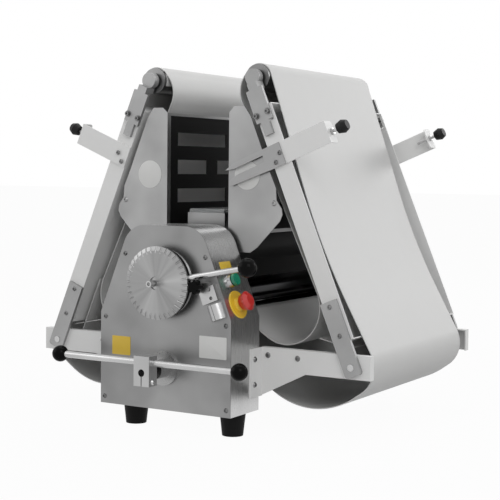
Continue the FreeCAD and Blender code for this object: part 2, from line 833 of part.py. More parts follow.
def hoods():
    """Black hoods that slope from beside the top cover down over the upper roller."""
    wide = guard_half_width - hood_end_gap
    start = top_cover_half_width + 1
    skirt = hood_low + hood_skirt
    inside = hood_out - hood_sheet
    outline = ((start, hood_top), (hood_out, skirt), (hood_out, hood_low), (inside, hood_low),
               (inside, skirt - 1), (start, hood_top - 2 * hood_sheet))
    hood = plate_y(outline, -wide, wide)
    parts["roller_hoods"] = group([hood, mirror_x(hood)])
    near = roller_radius + scraper_gap
    far = near + scraper_lean
    high = lower_axis - scraper_top_drop
    low = lower_axis - scraper_bottom_drop
    thick = scraper_thickness
    blade = plate_y(((near, high), (far, low), (far + thick, low), (near + thick, high)), -wide, wide)
    parts["scrapers"] = group([blade, mirror_x(blade)])


def dial():
    """The thickness dial: a bevelled disc, a black lever ring and a fixed flange behind them."""
    z = dial_height
    face = front - dial_face
    disc_back = face + dial_thickness
    ring_back = disc_back + dial_ring_thickness
    flange = Part.makeCone(flange_radius, flange_face_radius, flange_thickness,
                           vec(0, front, z), vec(0, -1, 0))
    flange_bore = dial_shaft_radius + running_clearance
    parts["dial_flange"] = flange.cut(rod_y(0, z, flange_bore, front - flange_thickness - 1, front + 1))
    rim = Part.makeCone(dial_radius - dial_bevel, dial_radius, dial_bevel_depth, vec(0, face, z), Y)
    disc = fuse([rim, rod_y(0, z, dial_radius, face + dial_bevel_depth, disc_back)])
    notches = []
    for i in range(dial_notches):
        angle = 2 * math.pi * i / dial_notches
        reach = vec(math.cos(angle), 0, math.sin(angle))
        end = vec(0, face, z) + reach * dial_radius
        inward = (reach * -dial_bevel + vec(0, -dial_bevel_depth, 0)).normalize()
        start = end - inward * dial_bevel + vec(0, dial_bevel_depth, 0)
        notches.append(Part.makeCylinder(dial_notch_radius, 3 * dial_bevel, start, inward))
    disc = disc.cut(notches)
    disc = disc.cut(rod_y(0, z, hub_radius, face - 1, face + hub_recess))
    shaft = rod_y(0, z, dial_shaft_radius, disc_back, front + dial_shaft_depth)
    parts["dial_disc"] = fuse([disc, shaft])
    stud_face = face - stud_head_length
    stud = rod_y(0, z, stud_head_radius, stud_face, face + hub_recess)
    socket_end = stud_face + stud_head_radius
    parts["dial_screw"] = stud.cut(rod_y(0, z, stud_socket_radius, stud_face - 1, socket_end))
    angle = math.radians(lever_angle)
    direction = vec(math.cos(angle), 0, math.sin(angle))
    centre = vec(0, (disc_back + ring_back) / 2, z)
    rod_start = dial_ring_radius - lever_socket
    rod_length = lever_length - rod_start - lever_ball_radius * 0.4
    rod = Part.makeCylinder(lever_rod_radius, rod_length, centre + direction * rod_start, direction)
    ball = Part.makeSphere(lever_ball_radius, centre + direction * lever_length)
    parts["lever_ball"] = ball.cut(rod)
    parts["lever_rod"] = rod
    parts["dial_ring"] = ring_y(0, z, dial_ring_radius, dial_shaft_radius, disc_back, ring_back).cut(rod)


def clamp_knob():
    """The lobed knob that locks the stop, with the stop's block and barrel on the cover."""
    x, z = knob_place
    lobes = [rod_y(x, z, knob_radius * 0.72, front - knob_front, front - knob_back)]
    for i in range(knob_lobes):
        angle = 2 * math.pi * i / knob_lobes
        lobe_x = x + knob_radius * 0.75 * math.cos(angle)
        lobe_z = z + knob_radius * 0.75 * math.sin(angle)
        lobes.append(rod_y(lobe_x, lobe_z, knob_radius * 0.42, front - knob_front, front - knob_back))
    stem = rod_y(x, z, knob_stem_radius, front - knob_back, front - stop_arm_depth)
    parts["clamp_knob"] = fuse(lobes + [stem])
    run = housing_half_width - crown_half_width
    slant = math.degrees(math.atan2(run, crown_shoulder_height - shoulder_height))
    bx, bz = stop_block_place
    half = stop_block_half_width
    rise = stop_block_half_height
    block = box(bx - half, bx + half, front - stop_block_depth, front, bz - rise, bz + rise)
    for hole_x, hole_z in ((bx + half / 4, bz - rise / 2), (bx + half / 3, bz + rise * 0.6)):
        block = block.cut(rod_y(hole_x, hole_z, knob_stem_radius * 0.8, front - stop_block_depth - 1,
                                front - knob_stem_radius))
    pin_place = vec(bx, front - stop_arm_half, bz + rise - 1)
    pin = Part.makeCylinder(knob_stem_radius * 0.7, stop_arm_half, pin_place, Z)
    block = turned(fuse([block, pin]), Y, -slant, vec(bx, 0, bz))
    cx, cz = stop_barrel_place
    low = cz - stop_barrel_length / 2
    barrel = Part.makeCylinder(stop_barrel_radius, stop_barrel_length, vec(cx, front, low), Z)
    barrel = barrel.common(box(cx - half, cx + half, front - half, front, low, low + stop_barrel_length))
    groove_back = front - stop_barrel_radius + 2
    barrel = barrel.cut(box(cx - 1, cx + 1, front - half, groove_back, low - 1, low + 2 * half))
    barrel = turned(barrel, Y, -slant, vec(cx, 0, cz))
    arm = box(x - stop_arm_half, bx, front - stop_arm_depth, front, z - stop_arm_half, z + stop_arm_half)
    parts["stop_block"] = fuse([block, arm, barrel])


def reversing_bar():
    z = reverse_height
    flange = rod_y(0, z, reverse_flange_radius, front - reverse_flange_thickness, front)
    flange = fuse([flange, rod_y(0, z, reverse_boss_radius, front - reverse_boss_length, front)])
    bore = reverse_shaft_radius + running_clearance
    parts["reverse_flange"] = flange.cut(rod_y(0, z, bore, front - reverse_boss_length - 1, front + 1))
    block_front = front - clamp_front
    block_back = front - clamp_back
    half = clamp_width / 2
    shaft_start = block_front + clamp_hole_depth
    parts["reverse_shaft"] = rod_y(0, z, reverse_shaft_radius, shaft_start, front + half)
    low = z - clamp_drop
    block = box(-half, half, block_front, block_back, low, low + clamp_height)
    block = block.cut(rod_y(0, z, reverse_shaft_radius, block_front - 1, block_back + 1))
    block = block.cut(rod_x(front - bar_place, bar_height, bar_radius, -half - 1, half + 1))
    block = block.cut(box(-clamp_slot_half, clamp_slot_half, block_front - 1, block_back + 1, low - 1, z))
    screw = button_head(0, 0, 0, bracket_bolt_head)
    screw = turned(screw, Z, 90)
    screw.translate(vec(half, (block_front + block_back) / 2, low + 2 * bracket_bolt_head * 0.7))
    parts["reverse_clamp"] = fuse([block, screw])
    parts["reverse_bar"] = rod_x(front - bar_place, bar_height, bar_radius, -bar_half_length, bar_half_length)
    balls = []
    for side in (-1, 1):
        ball = Part.makeSphere(bar_ball_radius, vec(side * bar_half_length, front - bar_place, bar_height))
        balls.append(ball.cut(parts["reverse_bar"]))
    parts["reverse_balls"] = group(balls)


def on_slope(height):
    """A place and outward direction on the slanted side of the front housing."""
    run = housing_half_width - crown_half_width
    rise = crown_shoulder_height - shoulder_height
    x = housing_half_width - (height - shoulder_height) * run / rise
    normal = vec(rise, 0, run)
    normal.normalize()
    return vec(x, front + control_depth, height), normal


def slope_cone(height, low, high, low_radius, high_radius):
    place, normal = on_slope(height)
    if low_radius == high_radius:
        return Part.makeCylinder(low_radius, high - low, place + normal * low, normal)
    return Part.makeCone(low_radius, high_radius, high - low, place + normal * low, normal)


def controls():
    """The emergency stop and the start button on the slanted side."""
    neck = estop_neck_radius
    disc = estop_disc_thickness
    collar = estop_collar_height
    base = slope_cone(stop_height, 0, disc, estop_disc_radius, estop_disc_radius - disc / 2)
    base = fuse([base, slope_cone(stop_height, 0, collar, estop_collar_foot, estop_collar_top)])
    bore = neck + running_clearance
    parts["estop_base"] = base.cut(slope_cone(stop_height, -1, collar + 1, bore, bore))
    cap_low = collar + button_travel + 1
    cap_rim = cap_low + mushroom_height * 0.7
    cap = slope_cone(stop_height, cap_low, cap_rim, mushroom_radius * 0.8, mushroom_radius)
    dome = slope_cone(stop_height, cap_rim, cap_low + mushroom_height, mushroom_radius, mushroom_radius * 0.6)
    stem = slope_cone(stop_height, button_travel + 0.5, cap_low + 2, neck, neck)
    parts["estop_button"] = fuse([cap, dome, stem])
    bore = start_stem_radius + running_clearance
    top = start_bezel_height
    bezel = slope_cone(start_height, 0, top, start_bezel_radius, start_bezel_radius - 2)
    parts["start_bezel"] = bezel.cut(slope_cone(start_height, -1, top + 1, bore, bore))
    cap_low = top + button_travel + 0.5
    stem = slope_cone(start_height, button_travel + 0.5, cap_low + 1, start_stem_radius, start_stem_radius)
    cap_top = cap_low + start_button_height
    cap = slope_cone(start_height, cap_low, cap_top, start_button_radius, start_button_radius - 1)
    parts["start_button"] = fuse([stem, cap])


def build():
    screws = housings()
    screws = screws + brackets()
    parts["button_screws"] = group(screws)
    side_plates()
    rubber_feet()
    bearings()
    rollers()
    lift_blocks()
    gear_motor()
    tables()
    guards()
    top_cover()
    hoods()
    dial()
    clamp_knob()
    reversing_bar()
    controls()


build()
os.makedirs("parts", exist_ok=True)
for name, shape in parts.items():
    shape.translate(vec(0, footprint_shift, foot_height - base_height))
    shape.exportStep("parts/" + name + ".step")
print(len(parts), "nodes")
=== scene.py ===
import json
import math

import bmesh
import bpy
from mathutils import Matrix, Vector


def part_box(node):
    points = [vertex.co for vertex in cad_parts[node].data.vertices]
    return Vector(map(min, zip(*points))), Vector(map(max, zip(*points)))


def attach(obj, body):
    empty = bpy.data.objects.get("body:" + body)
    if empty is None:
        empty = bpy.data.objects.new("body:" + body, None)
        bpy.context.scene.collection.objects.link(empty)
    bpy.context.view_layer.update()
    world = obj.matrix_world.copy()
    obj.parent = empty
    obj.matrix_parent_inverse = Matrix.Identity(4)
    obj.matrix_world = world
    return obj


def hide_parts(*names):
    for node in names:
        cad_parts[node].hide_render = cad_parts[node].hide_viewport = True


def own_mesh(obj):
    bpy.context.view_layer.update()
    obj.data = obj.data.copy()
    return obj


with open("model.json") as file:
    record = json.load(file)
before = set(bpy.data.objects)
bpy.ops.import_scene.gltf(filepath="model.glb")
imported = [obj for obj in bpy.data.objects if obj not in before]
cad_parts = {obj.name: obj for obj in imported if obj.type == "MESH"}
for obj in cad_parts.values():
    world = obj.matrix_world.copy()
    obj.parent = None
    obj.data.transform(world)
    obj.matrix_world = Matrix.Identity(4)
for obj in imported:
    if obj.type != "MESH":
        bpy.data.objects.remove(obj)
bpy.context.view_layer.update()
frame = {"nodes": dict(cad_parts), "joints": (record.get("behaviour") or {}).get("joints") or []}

# ---------------------------------------------------------------- places from the frame
# X and Z are those of the right table. The left one is its mirror image in X = 0.
JOINTS = {joint["name"]: joint for joint in frame["joints"]}
HINGE_X, MIDDLE_Y, HINGE_Z = JOINTS["table_right_fold"]["pos_m"]
DRIVE_X, _, DRIVE_Z = JOINTS["drive_roller_right_spin"]["pos_m"]
TOP_X, _, TOP_Z = JOINTS["end_roller_right_spin"]["pos_m"]
ARM_LENGTH = math.hypot(TOP_X - HINGE_X, TOP_Z - HINGE_Z)
ARM = ((TOP_X - HINGE_X) / ARM_LENGTH, (TOP_Z - HINGE_Z) / ARM_LENGTH)
OUT = (ARM[1], -ARM[0])
MM = 0.001


# ---------------------------------------------------------------- materials
EVEN = (1, 1, 1)  # the same scale along each axis


def grey(value):
    return (value, value, value)


def new_material(name):
    material = bpy.data.materials.new(name)
    material.use_nodes = True
    nodes = material.node_tree.nodes
    return material, nodes, material.node_tree.links, nodes["Principled BSDF"]


def coordinates(nodes, links, scale):
    """Object coordinates stretched by a scale for each axis."""
    source = nodes.new("ShaderNodeTexCoord")
    mapping = nodes.new("ShaderNodeMapping")
    mapping.inputs["Scale"].default_value = scale
    links.new(source.outputs["Object"], mapping.inputs["Vector"])
    return mapping.outputs["Vector"]


def noise(nodes, links, vector, scale, detail):
    texture = nodes.new("ShaderNodeTexNoise")
    texture.inputs["Scale"].default_value = scale
    texture.inputs["Detail"].default_value = detail
    links.new(vector, texture.inputs["Vector"])
    return texture.outputs["Fac"]


def remap(nodes, links, value, low, high):
    """A value from 0 to 1, moved to the range from low to high."""
    ramp = nodes.new("ShaderNodeMapRange")
    ramp.inputs["To Min"].default_value = low
    ramp.inputs["To Max"].default_value = high
    links.new(value, ramp.inputs["Value"])
    return ramp.outputs["Result"]


def tint(nodes, links, value, dark, light):
    """A colour between dark and light, by a value that is mostly near its middle."""
    ramp = nodes.new("ShaderNodeValToRGB")
    ramp.color_ramp.elements[0].position = 0.3
    ramp.color_ramp.elements[1].position = 0.7
    ramp.color_ramp.elements[0].color = (*dark, 1)
    ramp.color_ramp.elements[1].color = (*light, 1)
    links.new(value, ramp.inputs["Fac"])
    return ramp.outputs["Color"]


def bump(nodes, links, shader, value, distance, strength):
    node = nodes.new("ShaderNodeBump")
    node.inputs["Distance"].default_value = distance
    node.inputs["Strength"].default_value = strength
    links.new(value, node.inputs["Height"])
    links.new(node.outputs["Normal"], shader.inputs["Normal"])


def brushed(name, dark, light, grain, roughness=(0.28, 0.42), depth=0.00004, metallic=1.0):
    """Brushed or turned metal: fine streaks along the axis whose grain scale is small."""
    material, nodes, links, shader = new_material(name)
    streak = noise(nodes, links, coordinates(nodes, links, grain), 1.0, 3.0)
    cloud = noise(nodes, links, coordinates(nodes, links, EVEN), 9.0, 2.0)
    links.new(tint(nodes, links, cloud, dark, light), shader.inputs["Base Color"])
    links.new(remap(nodes, links, streak, *roughness), shader.inputs["Roughness"])
    shader.inputs["Metallic"].default_value = metallic
    bump(nodes, links, shader, streak, depth, 0.6)
    return material


def coated(name, dark, light, roughness, grain, depth, coat=0.0, specular=0.5):
    """Paint, rubber or moulded plastic with a slight orange-peel skin and uneven tone."""
    material, nodes, links, shader = new_material(name)
    vector = coordinates(nodes, links, EVEN)
    cloud = noise(nodes, links, vector, 7.0, 3.0)
    peel = noise(nodes, links, vector, grain, 2.0)
    links.new(tint(nodes, links, cloud, dark, light), shader.inputs["Base Color"])
    links.new(remap(nodes, links, cloud, *roughness), shader.inputs["Roughness"])
    shader.inputs["Coat Weight"].default_value = coat
    shader.inputs["Specular IOR Level"].default_value = specular
    bump(nodes, links, shader, peel, depth, 0.5)
    return material


def turned_disc_painted_reflection(name, centre, dark, light):
    """Turned aluminium: fine rings about the dial's axis, and broad wedge-shaped patches of lighter tone
    by angle, a painted reflection of radial highlight streaks.
    """
    ring_scale, reflection_wedge_scale, ring_share = 1400.0, 1.7, 0.35
    material, nodes, links, shader = new_material(name)
    source = nodes.new("ShaderNodeTexCoord")
    place = nodes.new("ShaderNodeMapping")
    place.inputs["Location"].default_value = (-centre[0], -centre[1], -centre[2])
    links.new(source.outputs["Object"], place.inputs["Vector"])
    flat = nodes.new("ShaderNodeMapping")
    flat.inputs["Scale"].default_value = (1, 0, 1)
    links.new(place.outputs["Vector"], flat.inputs["Vector"])
    length = nodes.new("ShaderNodeVectorMath")
    length.operation = "LENGTH"
    links.new(flat.outputs["Vector"], length.inputs[0])
    combine = nodes.new("ShaderNodeCombineXYZ")
    links.new(length.outputs["Value"], combine.inputs["X"])
    rings = noise(nodes, links, combine.outputs["Vector"], ring_scale, 2.0)
    heading = nodes.new("ShaderNodeVectorMath")
    heading.operation = "NORMALIZE"
    links.new(flat.outputs["Vector"], heading.inputs[0])
    # Painted reflection: lighter tone by heading round the axis, in broad wedge-shaped patches, in place
    # of radial highlight streaks.
    reflection_wedges = noise(nodes, links, heading.outputs["Vector"], reflection_wedge_scale, 2.5)
    shade = nodes.new("ShaderNodeMath")
    shade.operation = "MULTIPLY_ADD"
    shade.inputs[1].default_value = ring_share
    links.new(rings, shade.inputs[0])
    links.new(remap(nodes, links, reflection_wedges, -0.1, 0.75), shade.inputs[2])
    links.new(tint(nodes, links, shade.outputs["Value"], dark, light), shader.inputs["Base Color"])
    links.new(remap(nodes, links, rings, 0.24, 0.38), shader.inputs["Roughness"])
    shader.inputs["Metallic"].default_value = 1.0
    tangent = nodes.new("ShaderNodeTangent")
    tangent.direction_type = "RADIAL"
    tangent.axis = "Y"
    links.new(tangent.outputs["Tangent"], shader.inputs["Tangent"])
    shader.inputs["Anisotropic"].default_value = 0.6
    bump(nodes, links, shader, rings, 0.00003, 0.5)
    return material


def foot_on_stud(name, limit):
    """Black rubber beyond a distance from the table's arm, and bright steel nearer to it."""
    material, nodes, links, shader = new_material(name)
    vector = coordinates(nodes, links, EVEN)
    mirrored = nodes.new("ShaderNodeVectorMath")
    mirrored.operation = "ABSOLUTE"
    links.new(vector, mirrored.inputs[0])
    reach = nodes.new("ShaderNodeVectorMath")
    reach.operation = "DOT_PRODUCT"
    reach.inputs[1].default_value = (OUT[0], 0, OUT[1])
    links.new(mirrored.outputs["Vector"], reach.inputs[0])
    beyond = nodes.new("ShaderNodeMath")
    beyond.operation = "GREATER_THAN"
    beyond.inputs[1].default_value = HINGE_X * OUT[0] + HINGE_Z * OUT[1] + limit
    links.new(reach.outputs["Value"], beyond.inputs[0])
    cloud = noise(nodes, links, vector, 60.0, 3.0)
    mix = nodes.new("ShaderNodeMix")
    mix.data_type = "RGBA"
    links.new(beyond.outputs["Value"], mix.inputs["Factor"])
    links.new(tint(nodes, links, cloud, grey(0.42), grey(0.56)), mix.inputs["A"])
    links.new(tint(nodes, links, cloud, grey(0.005), grey(0.009)), mix.inputs["B"])
    links.new(mix.outputs["Result"], shader.inputs["Base Color"])
    links.new(remap(nodes, links, beyond.outputs["Value"], 1.0, 0.0), shader.inputs["Metallic"])
    links.new(remap(nodes, links, beyond.outputs["Value"], 0.28, 0.5), shader.inputs["Roughness"])
    shader.inputs["Specular IOR Level"].default_value = 0.2
    bump(nodes, links, shader, noise(nodes, links, vector, 700.0, 2.0), 0.00005, 0.5)
    return material


def clear_plastic(name, dark, light):
    """Clear moulded plastic, slightly uneven in tone and gloss."""
    material, nodes, links, shader = new_material(name)
    cloud = noise(nodes, links, coordinates(nodes, links, EVEN), 30.0, 2.0)
    links.new(tint(nodes, links, cloud, dark, light), shader.inputs["Base Color"])
    links.new(remap(nodes, links, cloud, 0.08, 0.2), shader.inputs["Roughness"])
    shader.inputs["Transmission Weight"].default_value = 0.75
    shader.inputs["IOR"].default_value = 1.45
    return material


# Metals: dark and light tone, grain scale along X, Y and Z, roughness from low to high, grain depth.
STAINLESS = brushed("stainless_sheet", grey(0.24), grey(0.32), (900, 18, 18))
# Stainless of the housings, brushed along Y: its tone, far lighter than the covers' stainless, is a
# painted reflection of the light on the slanted side.
STAINLESS_WRAP_PAINTED_REFLECTION = brushed("stainless_wrap", grey(0.52), grey(0.62), (18, 900, 18), (0.22, 0.34))
GUARD_STEEL = brushed("guard_steel", grey(0.28), grey(0.38), (700, 20, 20), (0.26, 0.4))
GREY_STEEL = brushed("zinc_steel", grey(0.32), grey(0.39), (60, 60, 60), (0.4, 0.56), metallic=0.6)
DARK_ROLLER = brushed("roller_steel", (0.018, 0.018, 0.019), (0.03, 0.03, 0.031), (1400, 6, 1400),
                     (0.16, 0.28))
END_ROLLER = brushed("end_roller_steel", grey(0.20), grey(0.28), (900, 6, 900), (0.25, 0.38))
BRIGHT = brushed("bright_steel", grey(0.46), grey(0.54), (500, 500, 500), (0.18, 0.3), 0.00002)
SCREW_STEEL = brushed("screw_steel", grey(0.15), grey(0.24), (400, 400, 400), (0.24, 0.4), 0.00003)
COLLAR_STEEL = brushed("collar_steel", grey(0.30), grey(0.37), (300, 300, 300), (0.22, 0.36), 0.00002)
ALUMINIUM = brushed("aluminium", grey(0.42), grey(0.52), (200, 200, 200), (0.26, 0.38))
DIAL_METAL = turned_disc_painted_reflection("dial_turned", JOINTS["dial_turn"]["pos_m"], grey(0.25), grey(0.42))

# Paint, rubber and plastic: dark and light tone, roughness from low to high, skin scale and depth.
WHITE_PAINT = coated("white_paint", (0.73, 0.73, 0.725), (0.77, 0.77, 0.765), (0.42, 0.55), 420.0, 0.00005)
BLACK = coated("black_plastic", grey(0.003), grey(0.005), (0.12, 0.2), 900.0, 0.00003, specular=0.05)
BLACK_SHEET = coated("black_sheet", grey(0.003), grey(0.006), (0.4, 0.55), 700.0, 0.00006, specular=0.04)
RUBBER = coated("black_rubber", grey(0.004), grey(0.007), (0.5, 0.65), 700.0, 0.0001, specular=0.12)
RED = coated("red_plastic", (0.50, 0.015, 0.012), (0.58, 0.022, 0.016), (0.22, 0.32), 600.0, 0.00002,
             coat=0.4)
YELLOW = coated("yellow_plastic", (0.80, 0.52, 0.03), (0.86, 0.58, 0.04), (0.35, 0.45), 600.0, 0.00003)
GREEN = coated("green_plastic", (0.004, 0.20, 0.11), (0.008, 0.26, 0.15), (0.2, 0.3), 600.0, 0.00002,
               coat=0.4)
CAST = coated("cast_paint", (0.05, 0.055, 0.06), (0.07, 0.075, 0.08), (0.5, 0.65), 300.0, 0.0002)
BELT_CLOTH = coated("belt_pvc", (0.57, 0.57, 0.565), (0.60, 0.60, 0.595), (0.45, 0.6), 1100.0, 0.00003,
                    specular=0.35)
PLATE_WHITE = coated("plate_white", (0.62, 0.62, 0.61), (0.68, 0.68, 0.67), (0.3, 0.42), 500.0, 0.00002)
PLATE_YELLOW = coated("plate_yellow", (0.62, 0.42, 0.04), (0.70, 0.48, 0.05), (0.3, 0.42), 500.0, 0.00002)
LEG_FOOT = foot_on_stud("leg_foot_on_stud", 147 * MM)
LID = clear_plastic("clear_lid_plastic", (0.82, 0.85, 0.86), (0.9, 0.92, 0.92))

NODE_MATERIALS = {
    STAINLESS: ("front_cover", "rear_cover", "top_cover"),
    STAINLESS_WRAP_PAINTED_REFLECTION: ("front_housing", "rear_housing"),
    GUARD_STEEL: ("guard_right_frame", "guard_left_frame"),
    WHITE_PAINT: ("support_brackets", "table_right_tray", "table_left_tray",
                  "table_right_legs", "table_left_legs"),
    GREY_STEEL: ("table_right_links", "table_left_links", "table_right_tension_plates",
                 "table_left_tension_plates", "table_right_pin_fork", "side_plates"),
    BLACK: ("lever_ball", "reverse_balls", "clamp_knob", "dial_ring"),
    BLACK_SHEET: ("roller_hoods", "scrapers", "guard_right_wall", "guard_left_wall"),
    RUBBER: ("rubber_feet",),
    LEG_FOOT: ("table_right_leg_feet", "table_left_leg_feet"),
    DARK_ROLLER: ("lower_roller", "upper_roller", "drive_roller_right", "drive_roller_left",
                  "reverse_shaft"),
    END_ROLLER: ("table_right_end_roller", "table_left_end_roller"),
    SCREW_STEEL: ("button_screws", "table_right_screws", "table_left_screws"),
    BRIGHT: ("hinge_pins", "tie_bars", "bearings", "drive_chain", "dial_screw", "lever_rod",
             "reverse_bar", "start_bezel"),
    ALUMINIUM: ("stop_block", "reverse_clamp", "lift_blocks", "dial_flange"),
    COLLAR_STEEL: ("reverse_flange",),
    DIAL_METAL: ("dial_disc",),
    RED: ("estop_button",),
    YELLOW: ("estop_base",),
    GREEN: ("start_button",),
    CAST: ("gear_motor",),
    LID: ("clear_lid",),
}


def dress_nodes():
    for material, names in NODE_MATERIALS.items():
        for name in names:
            node = frame["nodes"][name]
            node.data.materials.clear()
            node.data.materials.append(material)


dress_nodes()


# ---------------------------------------------------------------- the slack belts
BELT_HALF = (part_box("belt_right")[1][1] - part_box("belt_right")[0][1]) / 2
BELT_SKIN = 1.0 * MM  # half the belt's thickness
WRAP = 31.3 * MM  # from a roller's axis to the middle of the belt on it
RUN_SEGMENTS = 24
ARC_SEGMENTS = 2 * RUN_SEGMENTS
BULGE_DROP = 30 * MM
BULGE_INSET = 2 * MM
BULGE_RADIUS = 58 * MM
VALLEY_OFFSET = (138 * MM, 50 * MM)
VALLEY_RADIUS = 85 * MM
BELLY_OFFSET = (207 * MM, 5 * MM)
BELLY_RADIUS = 175 * MM
CORNER_OFFSET = (-35 * MM, -5 * MM)
CORNER_RADIUS = 68 * MM
SAG_PLACE = 300 * MM
SAG_INSET = 11.0 * MM
SAG_RADIUS = 1.5
TAIL_START = 174 * MM
TAIL_STEP = 8 * MM
TAIL_STEPS = 24
APRON_SLOPE = -0.205  # of the flat belt's upper run, over the base
APRON_SHORT = 20 * MM
APRON_STEPS = 12
UNDER_SLOPE = -0.19  # of the flat belt's lower run, under the base


def on_arm(along, across):
    """A place on the right arm: along it from the hinge, and across it outwards."""
    return (HINGE_X + ARM[0] * along + OUT[0] * across, HINGE_Z + ARM[1] * along + OUT[1] * across)


def belt_circles():
    """The circles that the folded belt lies round: x, z, radius and turn (1 is anticlockwise)."""
    bulge = on_arm(ARM_LENGTH - BULGE_DROP, -BULGE_INSET)
    sag = on_arm(SAG_PLACE, SAG_RADIUS + SAG_INSET)
    valley = (DRIVE_X + VALLEY_OFFSET[0], DRIVE_Z + VALLEY_OFFSET[1])
    belly = (DRIVE_X + BELLY_OFFSET[0], DRIVE_Z + BELLY_OFFSET[1])
    corner = (HINGE_X + CORNER_OFFSET[0], HINGE_Z + CORNER_OFFSET[1])
    return ((TOP_X, TOP_Z, WRAP, 1), (*bulge, BULGE_RADIUS, 1), (*valley, VALLEY_RADIUS, -1),
            (DRIVE_X, DRIVE_Z, WRAP, 1), (*belly, BELLY_RADIUS, 1), (*corner, CORNER_RADIUS, 1),
            (*sag, SAG_RADIUS, -1))


def tangent(first, second):
    """The straight run from one circle to the next: start, end and heading."""
    ax, az, a_radius, a_turn = first
    bx, bz, b_radius, b_turn = second
    across = b_turn * b_radius - a_turn * a_radius
    along = math.sqrt((bx - ax) ** 2 + (bz - az) ** 2 - across * across)
    heading = math.atan2(bz - az, bx - ax) - math.atan2(across, along)
    left = (-math.sin(heading), math.cos(heading))
    start = (ax - a_turn * a_radius * left[0], az - a_turn * a_radius * left[1])
    end = (bx - b_turn * b_radius * left[0], bz - b_turn * b_radius * left[1])
    return start, end, heading


def arc_points(circle, heading, next_heading, steps):
    """Points round a circle while the run's heading swings from one value to the next."""
    x, z, radius, turn = circle
    swing = (next_heading - heading) % (2 * math.pi)
    if turn < 0:
        swing -= 2 * math.pi
    angles = [heading + swing * i / steps for i in range(steps + 1)]
    return [(x + turn * radius * math.sin(a), z - turn * radius * math.cos(a)) for a in angles]


def belt_path():
    """The closed folded belt: a straight run and an arc for each circle, each a list of points.

    0 run to bulge, 1 bulge, 2 run to valley, 3 valley, 4 run to drive, 5 drive wrap, 6 run to belly,
    7 belly, 8 run to corner, 9 corner, 10 run to sag, 11 sag, 12 run to top, 13 top wrap.
    """
    circles = belt_circles()
    count = len(circles)
    runs = [tangent(circles[i], circles[(i + 1) % count]) for i in range(count)]
    stretches = []
    for i in range(count):
        start, end, heading = runs[i]
        after = (i + 1) % count
        dx, dz = end[0] - start[0], end[1] - start[1]
        stretches.append([(start[0] + dx * k / RUN_SEGMENTS, start[1] + dz * k / RUN_SEGMENTS)
                          for k in range(RUN_SEGMENTS + 1)])
        stretches.append(arc_points(circles[after], heading, runs[after][2], ARC_SEGMENTS))
    return stretches


def joined(stretches):
    """One list of points, with the point where two stretches meet kept once."""
    points = []
    for stretch in stretches:
        points += stretch if not points else stretch[1:]
    return points


def band(name, points, side):
    """A strip of belt along the points, with its real thickness and width. side is -1 on the left."""
    rows = []
    for i, point in enumerate(points):
        before = points[max(i - 1, 0)]
        after = points[min(i + 1, len(points) - 1)]
        dx, dz = after[0] - before[0], after[1] - before[1]
        length = math.hypot(dx, dz)
        normal = (dz / length, -dx / length)
        rows.append([(point[0] + normal[0] * skin, point[1] + normal[1] * skin)
                     for skin in (BELT_SKIN, -BELT_SKIN)])
    verts = []
    for outer, inner in rows:
        for (x, z), y in ((outer, -1), (outer, 1), (inner, 1), (inner, -1)):
            verts.append((side * x, MIDDLE_Y + y * BELT_HALF, z))
    faces = []
    for i in range(len(rows) - 1):
        for k in range(4):
            a, b = 4 * i + k, 4 * i + (k + 1) % 4
            face = (a, b, b + 4, a + 4)
            faces.append(face if side > 0 else face[::-1])
    first, last = (0, 3, 2, 1), tuple(4 * (len(rows) - 1) + k for k in range(4))
    faces += [first, last] if side > 0 else [first[::-1], last[::-1]]
    mesh = bpy.data.meshes.new(name)
    mesh.from_pydata(verts, [], faces)
    mesh.materials.append(BELT_CLOTH)
    piece = bpy.data.objects.new(name, mesh)
    bpy.context.scene.collection.objects.link(piece)
    smooth_by_angle(piece)
    return piece


def smooth_by_angle(piece, degrees=40.0):
    piece.data.polygons.foreach_set("use_smooth", [True] * len(piece.data.polygons))
    piece.data.set_sharp_from_angle(angle=math.radians(degrees))
    piece.data.update()


def top_line(x):
    """A place on the flat belt's upper run over the base."""
    return (x, DRIVE_Z + WRAP + APRON_SLOPE * (x - DRIVE_X))


def belt_strips():
    """Each strip of belt: its word, its points, what it rides on, and the line that it flattens onto.

    The tail and the apron lie hidden under the slack, and fill the flat belt when the table is down.
    """
    stretches = belt_path()
    below, above = stretches[12][-2:]
    top_wrap = arc_points((TOP_X, TOP_Z, WRAP, 1), math.atan2(above[1] - below[1], above[0] - below[0]),
                          math.atan2(-ARM[1], -ARM[0]) + 2 * math.pi, ARC_SEGMENTS)
    tail = [on_arm(TAIL_START - TAIL_STEP * k, -WRAP) for k in range(TAIL_STEPS + 1)]
    apron_start = max(stretches[3], key=lambda p: p[0])[0]
    apron_run = HINGE_X - APRON_SHORT - apron_start
    apron = [top_line(apron_start + apron_run * k / APRON_STEPS) for k in range(APRON_STEPS + 1)]
    corner = stretches[9]
    reach = max(range(len(corner)), key=lambda i: corner[i][0])
    across_arm = (OUT[0], 0, OUT[1])
    return (
        ("wrap", top_wrap, "table", None),
        ("inner", joined(stretches[0:3]), "table", (on_arm(0, -WRAP), across_arm)),
        ("tail", tail, "table", None),
        ("valley", joined(stretches[3:5]), "base", (top_line(DRIVE_X), (-APRON_SLOPE, 0, 1))),
        ("apron", apron, "base", None),
        ("drive", stretches[5], "base", None),
        ("belly", joined(stretches[6:9] + [corner[:reach + 1]]), "base",
         ((DRIVE_X, DRIVE_Z - WRAP), (-UNDER_SLOPE, 0, 1))),
        ("outer", joined([corner[reach:]] + stretches[10:13]), "table", (on_arm(0, WRAP), across_arm)),
    )


